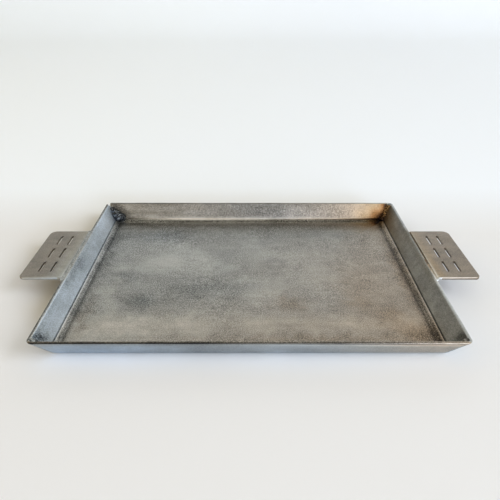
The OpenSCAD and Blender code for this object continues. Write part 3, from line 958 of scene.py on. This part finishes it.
def rootEnd(place, way, turn):
    # one end of the gap along the root: square, or with a hollow quarter turn to the plate's edge
    inner, outer = rimHalf[0] - root["overRim"], plate["root"]
    if not turn:
        return np.array([(inner, place), (outer + root["overPlate"], place)])
    arc = unit(np.linspace(np.pi, np.pi / 2, root["arcSteps"])) * (1, -way)
    lap = place - way * root["lap"]
    return np.concatenate([
        [(inner, place + way * turn)], (outer + turn, place + way * turn) + (turn - root["toe"]) * arc,
        [(outer + turn, lap), (outer + root["overPlate"], lap)]])


def rootBead():
    # a rippled rod under the root, flattened where it meets the plate, with drawn in ends
    start, end = plate["front"], plate["back"]
    s = np.linspace(start, end, root["rows"])[:, None]
    u = np.linspace(0, 2 * np.pi, root["arcCount"], endpoint=False)[None]
    fold = np.cos((u - np.pi * 1.25) / 2) ** 2  # 1 where the bead faces down and inwards
    phase = s / root["rippleLength"] - root["rippleCurve"] * fold
    lump = ripples(s, root["lumpLengths"], 31)
    body = root["beadRadius"] - root["slack"] + root["rippleHeight"] * crests(phase) + root["lump"] * lump
    body = body * roundEnd(np.minimum(s - start, end - s) / root["beadRadius"])
    x = rimHalf[0] + body * np.cos(u)
    z = np.minimum(plate["bottom"] + body * np.sin(u), plate["bottom"] + root["overlap"])
    rows = np.stack([x, np.broadcast_to(s, x.shape), z], axis=-1)
    return closedStack(rows)


def rootFill(start, end, frontTurn, backTurn, sunk):
    # the plan as a slab from just over the plate's underside to its top, or lower in the open seam
    plan = np.concatenate([rootEnd(start, -1, frontTurn), rootEnd(end, 1, backTurn)[::-1]])
    return slab(plan, [], np.empty((0, 2)), plate["bottom"] + root["lift"], plate["top"] - sunk,
                root["edge"], root["edgeSteps"])


def rootMarks(points, look):
    y, z = points[:, 1], points[:, 2]
    places = {"under": z < plate["bottom"], "turn": y < plate["front"] + root["turnEnd"],
              "seam": y > seamStart - root["seamLead"]}
    return {mark: np.select(list(places.values()), [look[place][i] for place in places], look["rest"][i])
            for i, mark in enumerate(("tone", "cast", "temper"))}


leftFill = rootFill(plate["front"], plate["back"], root["frontTurn"], root["backTurn"], 0.0)
rightFront = rootFill(plate["front"], seamStart, root["frontTurn"], 0.0, 0.0)
rightBack = rootFill(seamStart, plate["back"], 0.0, root["backTurn"], root["seamDepth"])
makePiece("leftRootWeld", [mirrored(leftFill), mirrored(rootBead())], "left_root_weld", "root_weld",
          rootWeldSteel, rootMarks, rootLooks["left"])
makePiece("rightRootWeld", [rightFront, rightBack, rootBead()], "right_root_weld", "root_weld",
          rootWeldSteel, rootMarks, rootLooks["right"])


# Stage: a paper sweep, soft light from the front and right, and the camera of the photograph

stage = {
    "nearPaper": "#eae8e6", "farStart": (0.1, 0.26),
    "farPaper": ("#f9fcff", "#f4f7fb"), "farSides": (-0.3, 0.6),
    "front": -3.0, "back": 3.2, "curve": 1.2, "curveSteps": 33, "top": 3.4, "halfWidth": 4.0,
    "dimSide": (0.455, 0.405, 0.312), "litSide": (0.60, 0.575, 0.485),
    "towardsLit": (0.5, -0.85, 0.0), "litSpan": (-0.7, 0.7),
    "lamps": {
        "windowLamp": {"place": (4.56, -1.9, 3.0), "size": 3.0, "power": 185.0, "colour": (0.92, 1.0, 1.12)},
        "lowLamp": {"place": (1.2, -3.1, 0.6), "size": 1.1, "power": 84.0, "colour": (0.83, 0.995, 1.3)},
        "warmLamp": {"place": (-2.4, -0.3, 1.0), "size": 1.6, "power": 6.5, "colour": (1.0, 0.66, 0.15)},
    },
}
camera = {"place": (0.00048, -0.49144, 0.31749), "pitch": 29.962, "focalPixels": 500, "frame": 500,
          "sensor": 36.0}


def sweepMesh():
    # floor, quarter circle and wall in one strip
    section = filletPath([(stage["front"], 0), (stage["back"], 0), (stage["back"], stage["top"])],
                         [stage["curve"]], stage["curveSteps"])
    points = np.concatenate([np.insert(section, 0, x, axis=1)
                             for x in (-stage["halfWidth"], stage["halfWidth"])])
    n = len(section)
    first = np.arange(n - 1)
    faces = np.stack([first, first + n, first + n + 1, first + 1], axis=1).tolist()
    return newMesh("paperSweep", points, faces, np.ones(len(faces), bool))


# matt paper scatters light evenly and so shows only soft shadow; far behind it is painted a colder,
# brighter white, standing in for the cool light on the backdrop, and a little darker to the right,
# where the window lamp lights it more
paper = bpy.data.materials.new("matt_white_paper")
paperTree = emptyTree(paper)
paperPlace = addNode(paperTree, "TexCoord", {})["Object"]
paperAxes = addNode(paperTree, "SeparateXYZ", {"Vector": paperPlace})
sideShare = addNode(paperTree, "MapRange", fromTo(paperAxes["X"], stage["farSides"]))[0]
farColour = addNode(paperTree, "Mix", {
    0: sideShare, 6: linearColour(stage["farPaper"][0]), 7: linearColour(stage["farPaper"][1])},
    data_type="RGBA")[2]
depthShare = addNode(paperTree, "MapRange", fromTo(paperAxes["Y"], stage["farStart"]))[0]
paperColour = addNode(paperTree, "Mix", {
    0: depthShare, 6: linearColour(stage["nearPaper"]), 7: farColour},
    data_type="RGBA")[2]
paperShader = addNode(paperTree, "BsdfPrincipled", {
    "Base Color": paperColour, "Roughness": 0.9, "Specular IOR Level": 0.1})
addNode(paperTree, "OutputMaterial", {"Surface": paperShader[0]})
sweep = addObject("paperSweep", sweepMesh())
sweep.data.materials.append(paper)

# the room is warm, and brighter towards its windows at the front and right
world = bpy.data.worlds.new("softRoom")
scene.world = world
worldTree = emptyTree(world)
direction = addNode(worldTree, "TexCoord", {})["Generated"]
towards = addNode(worldTree, "VectorMath", {0: direction, 1: stage["towardsLit"]},
                  operation="DOT_PRODUCT")["Value"]
share = addNode(worldTree, "MapRange", fromTo(towards, stage["litSpan"]))[0]
room = addNode(worldTree, "Mix", {0: share, 6: (*stage["dimSide"], 1), 7: (*stage["litSide"], 1)},
               data_type="RGBA")[2]
sky = addNode(worldTree, "Background", {"Color": room, "Strength": 1.0})
addNode(worldTree, "OutputWorld", {"Surface": sky[0]})

for name, lamp in stage["lamps"].items():
    light = bpy.data.lights.new(name, "AREA")
    light.energy, light.color = lamp["power"], lamp["colour"]
    light.shape, light.size = "SQUARE", lamp["size"]
    holder = addObject(name, light)
    holder.location = lamp["place"]
    holder.rotation_mode = "QUATERNION"
    holder.rotation_quaternion = (-holder.location).to_track_quat("-Z", "Y")

lens = bpy.data.cameras.new("photoCamera")
lens.sensor_width = camera["sensor"]
lens.lens = camera["sensor"] * camera["focalPixels"] / camera["frame"]
lens.clip_start = 0.01
photoCamera = addObject("photoCamera", lens)
photoCamera.location = camera["place"]
photoCamera.rotation_euler = (math.radians(90 - camera["pitch"]), 0, 0)
scene.camera = photoCamera
scene.view_settings.view_transform = "Standard"
print("stage set with", len(stage["lamps"]), "lamps and the photo's camera")
